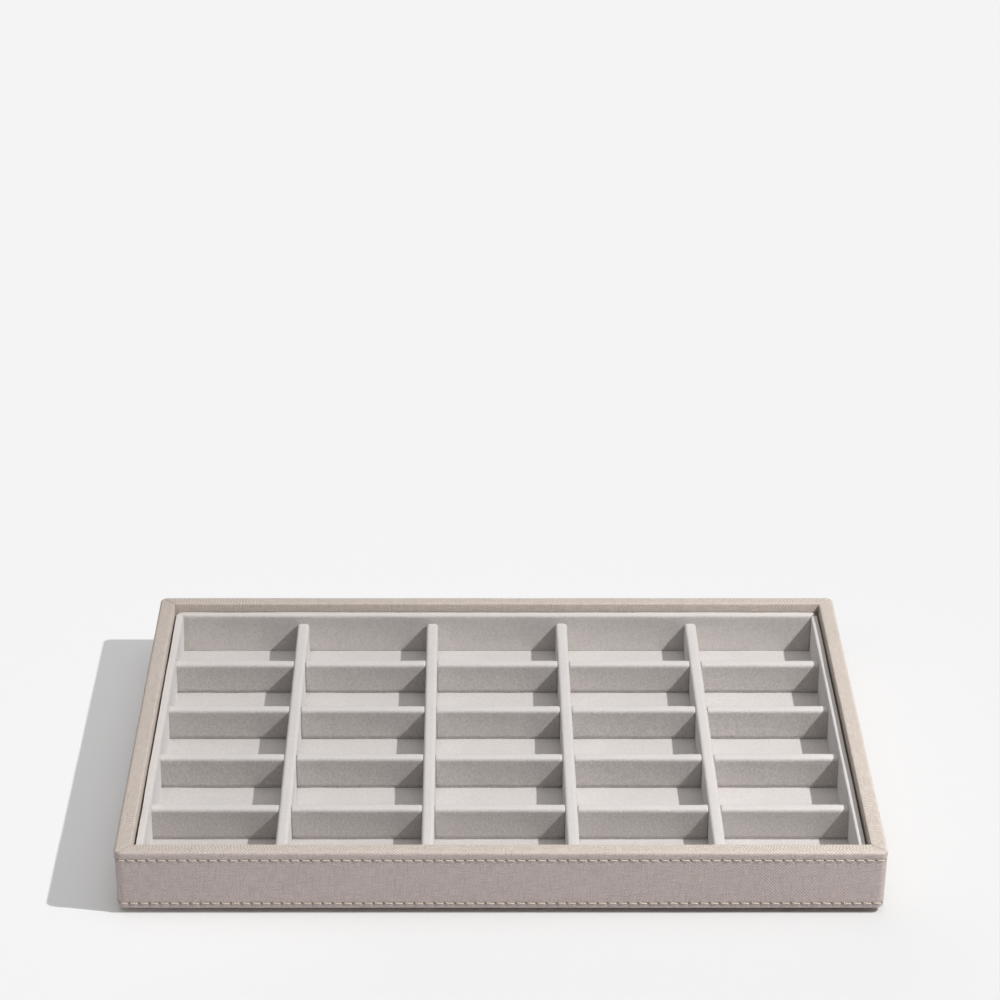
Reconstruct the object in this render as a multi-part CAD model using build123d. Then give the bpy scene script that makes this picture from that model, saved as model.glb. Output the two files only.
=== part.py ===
from build123d import *
import os

# Stackable jewellery tray: a leather-wrapped board box with a velvet-covered insert.
# The frame has X along the length, Y from front to back and Z up.
# The origin is at the middle of the footprint, on the surface the tray stands on.

# Overall size, in millimetres
tray_length = 250.0
tray_depth = 180.0
shell_height = 21.5
foot_height = 1.7
corner_radius = 3.0

# Leather wrap: thickness, its rolls over the rim and under the edge, and where it turns in
leather = 0.8
rim_roll = 1.0
base_roll = 1.0
inner_corner = 0.6
turn_down = 11.0
turn_under = 14.0

# Boards of the outer box
wall_board = 3.8
base_board = 1.8
rebate = 1.8

# Foot under the tray, which drops into the rim of the tray below
foot_clearance = 0.8
foot_corner = 3.5
foot_edge = 0.6
tongue_clearance = 0.3

# Velvet-covered insert: the lining round the walls and the floor. It is a close fit from side to side,
# and a little looser from front to back
velvet = 0.5
side_gap = 0.2
end_gap = 0.8
lining_board = 1.7
lining_below_rim = 3.1
lining_roll = 0.9
lining_corner = 2.0
lining_turn_down = 6.0
floor_card = 0.7
floor_clearance = 0.1

# Dividers: 4 along the depth and 4 along the length, halved into each other
columns = 5
rows = 5
divider_board = 3.1
divider_roll = 1.2
divider_end_ease = 0.6
long_below_lining = 2.9
cross_below_lining = 3.2
end_column_loss = 0.7
end_row_loss = 1.3
slot_clearance = 0.1
end_clearance = 0.1

# How close to a level or a plane an edge counts as lying in it
near = 0.001

# How far each side of the tray is turned about Z from the back
turns = {"back": 0, "left": 90, "front": 180, "right": -90}

# Levels up from the surface the tray stands on
rim_z = foot_height + shell_height
wall_bottom = foot_height + leather
wall_top = rim_z - leather
base_top = wall_bottom + base_board
floor_top = base_top + floor_card + velvet
lining_top = rim_z - lining_below_rim
long_divider_height = lining_top - long_below_lining - floor_top
cross_divider_height = lining_top - cross_below_lining - floor_top

# Half sizes of the nested outlines, each from the one outside it
core_x = tray_length / 2 - leather
core_y = tray_depth / 2 - leather
wall_x = core_x - wall_board
wall_y = core_y - wall_board
mouth_x = wall_x - leather
mouth_y = wall_y - leather
insert_x = mouth_x - side_gap
insert_y = mouth_y - end_gap
card_x = insert_x - velvet
card_y = insert_y - velvet
inside_x = card_x - lining_board - velvet
inside_y = card_y - lining_board - velvet
foot_x = mouth_x - foot_clearance
foot_y = mouth_y - foot_clearance

# Divider spacing: the end cells are a little shorter than the others
divider = divider_board + 2 * velvet
cell_x = (2 * inside_x - (columns - 1) * divider + 2 * end_column_loss) / columns
cell_y = (2 * inside_y - (rows - 1) * divider + 2 * end_row_loss) / rows
pitch_x = cell_x + divider
pitch_y = cell_y + divider
long_places = [(i - (columns - 2) / 2) * pitch_x for i in range(columns - 1)]
cross_places = [(i - (rows - 2) / 2) * pitch_y for i in range(rows - 1)]
halving_z = floor_top + cross_divider_height / 2


def block(x0, x1, y0, y1, z0, z1):
    """A box between two corners."""
    middle = Pos((x0 + x1) / 2, (y0 + y1) / 2, (z0 + z1) / 2)
    return middle * Box(x1 - x0, y1 - y0, z1 - z0)


def slab(half_x, half_y, z0, z1, radius=0.0):
    """An upright prism on a rectangle centred on the tray, with rounded corners where asked."""
    if radius > 0:
        outline = RectangleRounded(2 * half_x, 2 * half_y, radius)
    else:
        outline = Rectangle(2 * half_x, 2 * half_y)
    return Pos(0, 0, z0) * extrude(outline, amount=z1 - z0)


def round_edges(solid, z, radius):
    """Round every edge that lies in the level z."""
    return fillet(solid.edges().filter_by_position(Axis.Z, z - near, z + near), radius)


def save(name, solid):
    """Write one sub-part as its own file."""
    export_step(solid, f"parts/{name}.step")


def wall_ring():
    """The four walls of the outer box as one ring, with the rebate that takes the base board."""
    ring = slab(core_x, core_y, wall_bottom, wall_top, corner_radius - leather)
    ring = round_edges(ring, wall_top, rim_roll - leather)
    ring = round_edges(ring, wall_bottom, base_roll - leather)
    ring -= slab(wall_x, wall_y, wall_bottom, wall_top)
    return ring - slab(wall_x + rebate, wall_y + rebate, wall_bottom, base_top)


def wall_boards():
    """Front and back boards run the full length, and the side boards sit in rebates in them."""
    ring = wall_ring()
    boards = {}
    reach = wall_y + rebate
    for name in ("left", "right"):
        space = Rot(0, 0, turns[name]) * block(-reach, reach, wall_x, core_x, wall_bottom, wall_top)
        boards[f"wall_board_{name}"] = ring & space
        ring -= space
    for name in ("front", "back"):
        half = Rot(0, 0, turns[name]) * block(-core_x, core_x, 0, core_y, wall_bottom, wall_top)
        boards[f"wall_board_{name}"] = ring & half
    return boards


def leather_wrap():
    """One skin: up the outside, rolled over the rim, down behind the lining and turned under."""
    skin = slab(tray_length / 2, tray_depth / 2, foot_height, rim_z, corner_radius)
    skin = round_edges(skin, foot_height, base_roll)
    skin -= slab(mouth_x, mouth_y, wall_bottom, rim_z, inner_corner)
    skin = round_edges(skin, rim_z, rim_roll)
    under_x = tray_length / 2 - turn_under
    under_y = tray_depth / 2 - turn_under
    skin -= slab(under_x, under_y, foot_height, wall_bottom)
    core = slab(core_x, core_y, wall_bottom, wall_top, corner_radius - leather)
    core = round_edges(core, wall_top, rim_roll - leather)
    core = round_edges(core, wall_bottom, base_roll - leather)
    core -= slab(wall_x, wall_y, rim_z - turn_down, wall_top)
    return skin - core


def foot():
    """The foot board, with a tongue inside the turned-under leather, and its velvet cover."""
    board = slab(foot_x - velvet, foot_y - velvet, velvet, foot_height, foot_corner - velvet)
    tongue_x = tray_length / 2 - turn_under - tongue_clearance
    tongue_y = tray_depth / 2 - turn_under - tongue_clearance
    board += slab(tongue_x, tongue_y, foot_height, wall_bottom)
    cover = slab(foot_x, foot_y, 0, foot_height, foot_corner)
    cover = round_edges(cover, 0, foot_edge)
    return board, cover - board


def lining_frame(half_x, half_y, thickness, top, roll, radius):
    """A ring of lining with both its top edges rolled."""
    frame = slab(half_x, half_y, base_top, top, radius)
    frame -= slab(half_x - thickness, half_y - thickness, base_top, top)
    return round_edges(frame, top, roll)


def mitred_space(half_along, half_out, thickness):
    """The space of one side panel at the back, with its ends cut at 45 degrees."""
    inner = 2 * thickness
    near_end = half_along - inner
    corners = [(-near_end, half_out - inner), (-half_along, half_out),
               (half_along, half_out), (near_end, half_out - inner)]
    outline = make_face(Polyline(*corners, close=True))
    return Pos(0, 0, base_top) * extrude(outline, amount=lining_top - base_top)


def lining_panels():
    """Four mitred panels. The velvet covers the inside face and turns down over the top."""
    thickness = lining_board + 2 * velvet
    board = lining_frame(card_x, card_y, lining_board, lining_top - velvet,
                         lining_roll - velvet, lining_corner - velvet)
    cover = lining_frame(insert_x, insert_y, thickness, lining_top, lining_roll, lining_corner)
    low = lining_top - lining_turn_down
    outside = slab(insert_x, insert_y, base_top, low, lining_corner)
    outside -= slab(card_x, card_y, base_top, low, lining_corner - velvet)
    cover = cover - board - outside
    panels = {}
    for name, turn in turns.items():
        along, out = (insert_x, insert_y) if name in ("front", "back") else (insert_y, insert_x)
        space = Rot(0, 0, turn) * mitred_space(along, out, thickness)
        panels[f"lining_board_{name}"] = board & space
        panels[f"lining_velvet_{name}"] = cover & space
    return panels


def floor_pieces():
    """The card that lies on the base board inside the lining, and the velvet on it."""
    half_x = inside_x - floor_clearance
    half_y = inside_y - floor_clearance
    card_top = base_top + floor_card
    return slab(half_x, half_y, base_top, card_top), slab(half_x, half_y, card_top, floor_top)


def notches(places, half_width, z0, z1):
    """Cuts through a bar along X, one at each place."""
    return [block(x - half_width, x + half_width, -divider, divider, z0, z1) for x in places]


def divider_bar(half_length, width, height, roll, cuts):
    """An upright bar along X on the tray's floor, notched, with its long top edges rolled."""
    top = floor_top + height
    bar = block(-half_length, half_length, -width / 2, width / 2, floor_top, top)
    for cut in cuts:
        bar -= cut
    sides = bar.edges().filter_by(Axis.X).filter_by_position(Axis.Z, top - near, top + near)
    return fillet(sides, roll)


def ease_ends(bar, height, roll):
    """Take the corner off the bar's rolled top wherever the top ends."""
    lowest = floor_top + height - roll - near
    boxes = [(edge, edge.bounding_box()) for edge in bar.edges()]
    ends = [edge for edge, box in boxes if box.size.X < near and box.min.Z > lowest]
    return chamfer(ends, divider_end_ease)


def divider_pair(half_length, height, board_cuts, cover_cuts):
    """A divider's board, and the velvet folded over it and into its notches and ends."""
    board = divider_bar(half_length - velvet, divider_board, height - velvet,
                        divider_roll - velvet, board_cuts)
    cover = divider_bar(half_length, divider, height, divider_roll, cover_cuts)
    return board, ease_ends(cover, height, divider_roll) - board


def long_divider():
    """Notched from below, so that its top runs through unbroken."""
    half = divider / 2 + slot_clearance
    roof = halving_z + slot_clearance
    low = floor_top - 1
    board_cuts = notches(cross_places, half + velvet, low, roof + velvet)
    cover_cuts = notches(cross_places, half, low, roof)
    return divider_pair(inside_y - end_clearance, long_divider_height, board_cuts, cover_cuts)


def cross_divider():
    """Notched from above, so that the long dividers drop into it."""
    half = divider / 2 + slot_clearance
    high = floor_top + cross_divider_height + 1
    board_cuts = notches(long_places, half + velvet, halving_z - velvet, high)
    cover_cuts = notches(long_places, half, halving_z, high)
    return divider_pair(inside_x - end_clearance, cross_divider_height, board_cuts, cover_cuts)


def dividers():
    """Four long dividers and four cross dividers, halved into each other as in an egg crate."""
    pieces = {}
    board, cover = long_divider()
    for number, x in enumerate(long_places, 1):
        pieces[f"long_divider_board_{number}"] = Pos(x, 0, 0) * Rot(0, 0, 90) * board
        pieces[f"long_divider_velvet_{number}"] = Pos(x, 0, 0) * Rot(0, 0, 90) * cover
    board, cover = cross_divider()
    for number, y in enumerate(cross_places, 1):
        pieces[f"cross_divider_board_{number}"] = Pos(0, y, 0) * board
        pieces[f"cross_divider_velvet_{number}"] = Pos(0, y, 0) * cover
    return pieces


def build():
    """Make every sub-part and write each to its own file."""
    os.makedirs("parts", exist_ok=True)
    pieces = wall_boards()
    pieces["base_board"] = slab(wall_x + rebate, wall_y + rebate, wall_bottom, base_top)
    pieces["leather_wrap"] = leather_wrap()
    pieces["foot_board"], pieces["foot_velvet"] = foot()
    pieces.update(lining_panels())
    pieces["floor_card"], pieces["floor_velvet"] = floor_pieces()
    pieces.update(dividers())
    for name, solid in pieces.items():
        save(name, solid)
    return pieces


build()
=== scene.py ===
import math

import bmesh
import bpy
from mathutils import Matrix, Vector, noise


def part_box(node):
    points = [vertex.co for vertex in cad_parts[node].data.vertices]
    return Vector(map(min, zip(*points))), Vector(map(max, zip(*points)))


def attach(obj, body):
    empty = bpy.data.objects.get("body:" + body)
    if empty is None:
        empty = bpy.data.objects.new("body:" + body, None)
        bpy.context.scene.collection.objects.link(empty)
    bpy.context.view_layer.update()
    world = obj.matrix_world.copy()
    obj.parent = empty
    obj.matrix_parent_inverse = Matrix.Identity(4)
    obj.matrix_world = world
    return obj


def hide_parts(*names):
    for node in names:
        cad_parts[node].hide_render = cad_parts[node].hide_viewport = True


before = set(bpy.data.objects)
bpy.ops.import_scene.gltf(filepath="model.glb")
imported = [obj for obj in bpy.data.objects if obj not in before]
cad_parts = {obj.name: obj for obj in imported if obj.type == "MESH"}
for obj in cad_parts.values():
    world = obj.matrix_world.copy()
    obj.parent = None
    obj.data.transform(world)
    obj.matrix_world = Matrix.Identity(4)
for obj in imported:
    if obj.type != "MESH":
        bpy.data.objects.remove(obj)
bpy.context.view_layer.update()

bl_info = {
    "name": "Stackable jewellery tray",
    "version": (1, 0, 0),
    "blender": (4, 5, 0),
    "location": "3D View > Sidebar > Jewellery tray",
    "description": "Leather wrap, stitching, velvet insert and studio stage for a stackable jewellery tray",
    "category": "Add Mesh",
}

MM = 0.001

# The four sides in the order they follow each other clockwise, seen from above
SIDES = ("back", "right", "front", "left")

LEATHER_LOW, LEATHER_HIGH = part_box("leather_wrap")
LINING_LOW, LINING_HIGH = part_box("lining_velvet_back")
FOOT_LOW, FOOT_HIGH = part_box("foot_velvet")
FLOOR_LOW, FLOOR_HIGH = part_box("floor_velvet")
LONG_LOW, LONG_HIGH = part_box("long_divider_velvet_1")
CROSS_LOW, CROSS_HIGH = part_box("cross_divider_velvet_1")

# How the velvet lies on each side's lining board. In millimetres: how much thinner it is drawn, its gap to the wrap,
# how much lower its top sits, and the depth of the crease at its mitres. Then the share that is left of its top edge's
# radius, and the least painted light that pales its pile
LINING_FIT = {
    "back": (0.0, 0.0, 0.0, 0.30, 1.0, 0.4),
    "right": (0.42, 0.08, 0.32, 0.12, 0.6, 0.8),
    "front": (0.0, 0.0, 0.0, 0.30, 1.0, 0.4),
    "left": (0.20, 0.08, 0.0, 0.12, 1.0, 0.9),
}

# The key lamp's place in metres and its power, the light that the ceiling gives open ground, its light at the horizon,
# and how strongly it gathers overhead
KEY_PLACE = (0.605, -0.232, 0.726)
KEY_POWER = 29.0
OPEN_FILL = 0.45
HORIZON_FILL = 0.05
CEILING_FOCUS = 4.0

# The most light that the tray's lit sides send to the floor. Then, for each edge of the patch that gets it, the edge's
# axis and the places in metres where the light is gone and where it is full
BOUNCE = 0.055
BOUNCE_EDGES = (("X", 0.165, 0.120), ("X", -0.13, -0.03), ("Y", -0.18, -0.10), ("Y", 0.12, 0.08))

# The camera's place in metres, and how many degrees it looks down
CAMERA_PLACE = (-10.24 * MM, -970.79 * MM, 567.87 * MM)
CAMERA_PITCH = 25.436


def linear(code):
    """A colour written as sRGB hex, as the linear numbers that shaders take."""
    parts = [int(code[i:i + 2], 16) / 255 for i in (1, 3, 5)]
    return [c / 12.92 if c <= 0.04045 else ((c + 0.055) / 1.055) ** 2.4 for c in parts] + [1.0]


def length(name, value, description):
    """A length that a user can change, given in millimetres."""
    return bpy.props.FloatProperty(name=name, description=description, default=value * MM,
                                   min=0.0, unit="LENGTH", precision=5)


def colour(name, code, description):
    """A colour that a user can change, given as sRGB hex."""
    return bpy.props.FloatVectorProperty(name=name, description=description, size=4, min=0.0, max=1.0,
                                         default=linear(code), subtype="COLOR")


class TraySizes(bpy.types.PropertyGroup):
    """Sizes that the looks need and the frame's boxes don't give."""

    corner_radius: length("Corner radius", 2.4, "Radius of the leather's upright corners")
    mouth_inset: length("Mouth inset", 5.4, "From the outside of the wrap to its inside face")
    mouth_radius: length("Mouth radius", 0.6, "Radius of the inside corners of the wrap")
    leather: length("Leather", 0.8, "Thickness of the leatherette")
    rim_roll: length("Rim roll", 1.0, "Radius of the rim's outside edge")
    mouth_roll: length("Mouth roll", 0.5, "Radius of the rim's inside edge")
    base_roll: length("Base roll", 1.0, "Radius of the bottom edge of the wrap")
    lean_sides: length("Lean of the sides", 0.5, "How far the sides draw in from the rim to the bottom edge")
    lean_mouth: length("Lean of the mouth", 0.2, "How far the inside of the wrap draws in from the rim to the lining")
    lean_front: length("Lean of the front", 0.3, "How far the front and back draw in from the rim down")
    turn_down: length("Turn down", 11.0, "Depth of the leather behind the lining, from the rim")
    turn_under: length("Turn under", 14.0, "Width of the leather turned under the base")
    stitch_pitch: length("Stitch pitch", 3.3, "From one needle hole to the next")
    thread: length("Thread", 0.32, "Diameter of the sewing thread")
    upper_row: length("Upper row", 3.0, "From the rim down to the upper row of stitches")
    lower_row: length("Lower row", 2.2, "From the leather's bottom edge up to the lower row")
    lining: length("Lining", 2.7, "Thickness of the lining, velvet included")
    lining_roll: length("Lining roll", 1.0, "Radius of the lining's inside top edge")
    lining_outer_roll: length("Lining outer roll", 0.12, "Radius of the lining's edge that faces the wrap")
    lining_corner: length("Lining corner", 2.0, "Radius of the lining's outside corners")
    lining_turn_down: length("Lining turn down", 6.0, "Depth of the velvet behind the lining")
    divider_roll: length("Divider roll", 1.2, "Radius of both top edges of a divider")
    slot_clearance: length("Slot clearance", 0.1, "Gap each side between halved dividers")
    foot_corner: length("Foot corner", 3.5, "Radius of the foot's upright corners")
    foot_edge: length("Foot edge", 0.6, "Radius of the foot's bottom edge")


class TrayColours(bpy.types.PropertyGroup):
    """Colours of the tray's finishes."""

    leather: colour("Leatherette", "#C7B9B5", "Taupe of the embossed leatherette")
    # The rim colour is painted light: paler and warmer, for the warm key lamp on the rim's top
    rim: colour("Leatherette on the rim", "#D1C5BB", "The same leatherette on the rim, where light has yellowed it")
    thread: colour("Thread", "#F2E5D3", "Cream of the sewing thread")
    # The needle holes' colour is painted shade
    hole: colour("Needle holes", "#42332E", "Shade inside the needle holes")
    velvet: colour("Velvet", "#C6C1BE", "Pale grey of the velvet")
    foot: colour("Foot velvet", "#A09A96", "Grey of the velvet under the foot")
    fibreboard: colour("Fibreboard", "#A98E6C", "Brown of the raw fibreboard")
    card: colour("Greyboard", "#9C978F", "Grey of the raw board in the insert")
    floor: colour("Floor", "#F4F4F4", "Pale paper that the tray stands on")


def add(tree, kind, inputs=None, **settings):
    """Add a node. An input is a value, or the output of another node that is then linked to it."""
    node = tree.nodes.new(kind)
    for name, value in settings.items():
        setattr(node, name, value)
    for name, value in (inputs or {}).items():
        if isinstance(value, bpy.types.NodeSocket):
            tree.links.new(value, node.inputs[name])
        else:
            node.inputs[name].default_value = value
    return node


def new_material(name):
    """An empty material with its output node, and the tree they are in."""
    material = bpy.data.materials.new(name)
    material.use_nodes = True
    material.node_tree.nodes.clear()
    return material, material.node_tree


def leatherette(colours):
    """Polyurethane leatherette, embossed on a roller with fine crossed lines and left satin."""
    material, tree = new_material("polyurethane_leatherette")
    surface = add(tree, "ShaderNodeUVMap", uv_map="Surface").outputs["UV"]
    # The skin's stretch moves its lines by a few tenths of a millimetre, a little differently every 4 mm
    wander = add(tree, "ShaderNodeTexNoise", {"Vector": surface, "Scale": 0.26 / MM, "Detail": 2.0})
    wander = add(tree, "ShaderNodeVectorMath", {0: wander.outputs["Color"], 1: (0.5, 0.5, 0.5)}, operation="SUBTRACT")
    wander = add(tree, "ShaderNodeVectorMath", {0: wander.outputs["Vector"], "Scale": 1.3 * MM}, operation="SCALE")
    place = add(tree, "ShaderNodeVectorMath", {0: surface, 1: wander.outputs["Vector"]}).outputs["Vector"]
    apart = add(tree, "ShaderNodeSeparateXYZ", {"Vector": place})
    # The embossing roller's lines are under 0.5 mm apart, drawn at 0.75 mm so that they show, along both diagonals.
    # Fine creases, 0.6 mm wide and 4 mm long, run the same two ways
    pitch, per_width, per_length = 0.75 * MM, 1.7 / MM, 0.24 / MM
    waves, streaks = [], []
    for sign, scale in (("ADD", (per_width, per_length, 1.0)), ("SUBTRACT", (per_length, per_width, 1.0))):
        line = add(tree, "ShaderNodeMath", {0: apart.outputs["X"], 1: apart.outputs["Y"]}, operation=sign)
        line = add(tree, "ShaderNodeMath", {0: line.outputs[0], 1: math.pi / (pitch * math.sqrt(2))},
                   operation="MULTIPLY")
        line = add(tree, "ShaderNodeMath", {0: line.outputs[0]}, operation="SINE")
        waves.append(add(tree, "ShaderNodeMath", {0: line.outputs[0]}, operation="ABSOLUTE").outputs[0])
        along = add(tree, "ShaderNodeMapping", {"Vector": place, "Rotation": (0.0, 0.0, math.radians(45)),
                                                "Scale": scale}).outputs["Vector"]
        streaks.append(add(tree, "ShaderNodeTexNoise", {"Vector": along, "Scale": 1.0, "Detail": 2.0}).outputs["Fac"])
    grain = add(tree, "ShaderNodeMath", {0: waves[0], 1: waves[1]}, operation="MULTIPLY")
    grain = add(tree, "ShaderNodeMath", {0: grain.outputs[0], 1: 0.8}, operation="POWER")
    crease = add(tree, "ShaderNodeMath", {0: streaks[0], 1: streaks[1]}, operation="MINIMUM")
    height = add(tree, "ShaderNodeMath", {0: crease.outputs[0], 1: 0.9, 2: grain.outputs[0]}, operation="MULTIPLY_ADD")
    # The painted shade in the roller's lines is deeper in some places than in others, a centimetre or so across, and
    # deepest on the rim, whose painted light brings the lines out most
    rim = add(tree, "ShaderNodeAttribute", attribute_name="rim_painted_light").outputs["Fac"]
    shade_depth_in_lines = add(tree, "ShaderNodeTexNoise", {"Vector": surface, "Scale": 0.11 / MM, "Detail": 1.0})
    shade_depth_in_lines = add(tree, "ShaderNodeMapRange", {"Value": shade_depth_in_lines.outputs["Fac"], "From Min": 0.35, "From Max": 0.65,
                                             "To Min": 0.03, "To Max": 0.28})
    shade_depth_in_lines = add(tree, "ShaderNodeMath", {0: rim, 1: 0.34, 2: shade_depth_in_lines.outputs["Result"]}, operation="MULTIPLY_ADD")
    # Painted shade darkens the lines and creases, and the dye is a little uneven over some centimetres
    line_shade = add(tree, "ShaderNodeMath", {0: grain.outputs[0], 1: 0.48}, operation="SUBTRACT")
    line_shade = add(tree, "ShaderNodeMath", {0: line_shade.outputs[0], 1: shade_depth_in_lines.outputs[0]}, operation="MULTIPLY")
    patches = add(tree, "ShaderNodeTexNoise", {"Vector": surface, "Scale": 0.028 / MM, "Detail": 3.0})
    tone = add(tree, "ShaderNodeMath", {0: patches.outputs["Fac"], 1: 0.10, 2: 0.61}, operation="MULTIPLY_ADD")
    tone = add(tree, "ShaderNodeMath", {0: crease.outputs[0], 1: 0.80, 2: tone.outputs[0]}, operation="MULTIPLY_ADD")
    tone = add(tree, "ShaderNodeMath", {0: tone.outputs[0], 1: line_shade.outputs[0]}, operation="ADD")
    # The rolled edges are drawn paler
    edge_tone = add(tree, "ShaderNodeAttribute", attribute_name="rolled_edge_tone")
    tone = add(tree, "ShaderNodeMath", {0: edge_tone.outputs["Fac"], 1: 0.06, 2: tone.outputs[0]}, operation="MULTIPLY_ADD")
    # On the rim the leatherette takes a paler, warmer colour: painted light for the key lamp on the rim's top
    dye_and_rim_light = add(tree, "ShaderNodeMix", {"Factor": rim, "A": colours.leather, "B": colours.rim}, data_type="RGBA")
    skin = add(tree, "ShaderNodeVectorMath", {0: dye_and_rim_light.outputs["Result"], "Scale": tone.outputs[0]}, operation="SCALE")
    # Painted shade darkens the needle holes
    hole_shades = add(tree, "ShaderNodeAttribute", attribute_name="needle_hole_shade")
    shade = add(tree, "ShaderNodeMix", {"Factor": hole_shades.outputs["Fac"], "A": skin.outputs["Vector"],
                                        "B": colours.hole}, data_type="RGBA")
    rough = add(tree, "ShaderNodeMapRange", {"Value": grain.outputs[0], "To Min": 0.62, "To Max": 0.46})
    bump = add(tree, "ShaderNodeBump", {"Height": height.outputs[0], "Strength": 0.8, "Distance": 0.12 * MM})
    shader = add(tree, "ShaderNodeBsdfPrincipled", {"Base Color": shade.outputs["Result"], "Normal": bump.outputs[0],
                                                    "Roughness": rough.outputs["Result"], "IOR": 1.47})
    add(tree, "ShaderNodeOutputMaterial", {"Surface": shader.outputs["BSDF"]})
    return material


def velvet(name, shade, depth):
    """Short-pile velvet, woven and cropped. It scatters light off its fibre tips, so edges glow a little.

    depth is how dark it is between its tufts.
    """
    material, tree = new_material(name)
    where = add(tree, "ShaderNodeTexCoord").outputs["Object"]
    # The pile's tufts are about 0.3 mm apart, drawn at 0.8 mm so that they show
    tufts = add(tree, "ShaderNodeTexNoise", {"Vector": where, "Scale": 1 / (0.8 * MM), "Detail": 3.0, "Roughness": 0.7})
    # The nap lies a little differently in patches of about a centimetre
    nap = add(tree, "ShaderNodeTexNoise", {"Vector": where, "Scale": 1 / (11 * MM), "Detail": 2.0})
    # Painted light pales the pile along the crests, on the floor and on faces turned to the right, towards the key
    # lamp, and thins the shade between its tufts there
    brushed = add(tree, "ShaderNodeAttribute", attribute_name="brushed").outputs["Fac"]
    deep = add(tree, "ShaderNodeMath", {0: brushed, 1: -0.7 * depth, 2: depth}, operation="MULTIPLY_ADD")
    tone = add(tree, "ShaderNodeMath", {0: tufts.outputs["Fac"], 1: 0.5}, operation="SUBTRACT")
    tone = add(tree, "ShaderNodeMath", {0: tone.outputs[0], 1: deep.outputs[0], 2: 0.935}, operation="MULTIPLY_ADD")
    tone = add(tree, "ShaderNodeMath", {0: nap.outputs["Fac"], 1: 0.08, 2: tone.outputs[0]}, operation="MULTIPLY_ADD")
    painted_gain = add(tree, "ShaderNodeMath", {0: brushed, 1: 0.28, 2: 1.0}, operation="MULTIPLY_ADD")
    tone = add(tree, "ShaderNodeMath", {0: tone.outputs[0], 1: painted_gain.outputs[0]}, operation="MULTIPLY")
    pile = add(tree, "ShaderNodeVectorMath", {0: shade[:3], "Scale": tone.outputs[0]}, operation="SCALE")
    bump = add(tree, "ShaderNodeBump", {"Height": tufts.outputs["Fac"], "Strength": 0.5, "Distance": 0.25 * MM})
    shader = add(tree, "ShaderNodeBsdfPrincipled", {"Base Color": pile.outputs["Vector"], "Normal": bump.outputs[0],
                                                    "Roughness": 0.95, "Sheen Weight": 0.7, "Sheen Roughness": 0.5,
                                                    "Specular IOR Level": 0.2})
    add(tree, "ShaderNodeOutputMaterial", {"Surface": shader.outputs["BSDF"]})
    return material


def insert_velvet(colours):
    """The velvet on the lining, floor and dividers, made once. Its tufts stand open, with shade between them."""
    return bpy.data.materials.get("short_pile_velvet") or velvet("short_pile_velvet", colours.velvet, depth=0.75)


def sewing_thread(colours):
    """Bonded polyester thread: two plies twisted together, with a faint shine."""
    material, tree = new_material("bonded_polyester_thread")
    surface = add(tree, "ShaderNodeUVMap", uv_map="Surface").outputs["UV"]
    place = add(tree, "ShaderNodeSeparateXYZ", {"Vector": surface})
    # The twist comes round once in 0.9 mm of thread
    twist = add(tree, "ShaderNodeMath", {0: place.outputs["X"], 1: 1 / (0.9 * MM), 2: place.outputs["Y"]},
                operation="MULTIPLY_ADD")
    twist = add(tree, "ShaderNodeMath", {0: twist.outputs[0], 1: 2 * math.pi}, operation="MULTIPLY")
    twist = add(tree, "ShaderNodeMath", {0: twist.outputs[0]}, operation="SINE")
    tone = add(tree, "ShaderNodeMath", {0: twist.outputs[0], 1: 0.08, 2: 0.92}, operation="MULTIPLY_ADD")
    fibre = add(tree, "ShaderNodeVectorMath", {0: colours.thread[:3], "Scale": tone.outputs[0]}, operation="SCALE")
    bump = add(tree, "ShaderNodeBump", {"Height": twist.outputs[0], "Strength": 0.5, "Distance": 0.05 * MM})
    shader = add(tree, "ShaderNodeBsdfPrincipled", {"Base Color": fibre.outputs["Vector"], "Normal": bump.outputs[0],
                                                    "Roughness": 0.55, "IOR": 1.5})
    add(tree, "ShaderNodeOutputMaterial", {"Surface": shader.outputs["BSDF"]})
    return material


def pressed_board(name, shade, fibre, contrast):
    """Board pressed from wood or paper fibre and left raw: matt, flecked and slightly fuzzy."""
    material, tree = new_material(name)
    where = add(tree, "ShaderNodeTexCoord").outputs["Object"]
    flecks = add(tree, "ShaderNodeTexNoise", {"Vector": where, "Scale": 1 / fibre, "Detail": 4.0, "Roughness": 0.65})
    clouds = add(tree, "ShaderNodeTexNoise", {"Vector": where, "Scale": 1 / (25 * fibre), "Detail": 2.0})
    tone = add(tree, "ShaderNodeMath", {0: flecks.outputs["Fac"], 1: contrast, 2: 1 - contrast / 2},
               operation="MULTIPLY_ADD")
    tone = add(tree, "ShaderNodeMath", {0: clouds.outputs["Fac"], 1: 0.12, 2: tone.outputs[0]},
               operation="MULTIPLY_ADD")
    body = add(tree, "ShaderNodeVectorMath", {0: shade[:3], "Scale": tone.outputs[0]}, operation="SCALE")
    bump = add(tree, "ShaderNodeBump", {"Height": flecks.outputs["Fac"], "Strength": 0.4, "Distance": 0.1 * MM})
    shader = add(tree, "ShaderNodeBsdfPrincipled", {"Base Color": body.outputs["Vector"], "Normal": bump.outputs[0],
                                                    "Roughness": 0.88, "Specular IOR Level": 0.3})
    add(tree, "ShaderNodeOutputMaterial", {"Surface": shader.outputs["BSDF"]})
    return material


def turned(side, along, out):
    """A place on one side of the tray, from how far along the side and how far out it is."""
    return {"back": (along, out), "right": (out, -along), "front": (-along, -out), "left": (-out, along)}[side]


def side_halves(side, corner):
    """Half of a side's length and its distance from the middle, from the place of the tray's corner."""
    return (corner.x, corner.y) if side in ("back", "front") else (corner.y, corner.x)


def fold_distance(a, o, along, out):
    """How far a place on a side is from the diagonal at the side's end."""
    return abs((along - abs(a)) - (out - o)) / math.sqrt(2)


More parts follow.
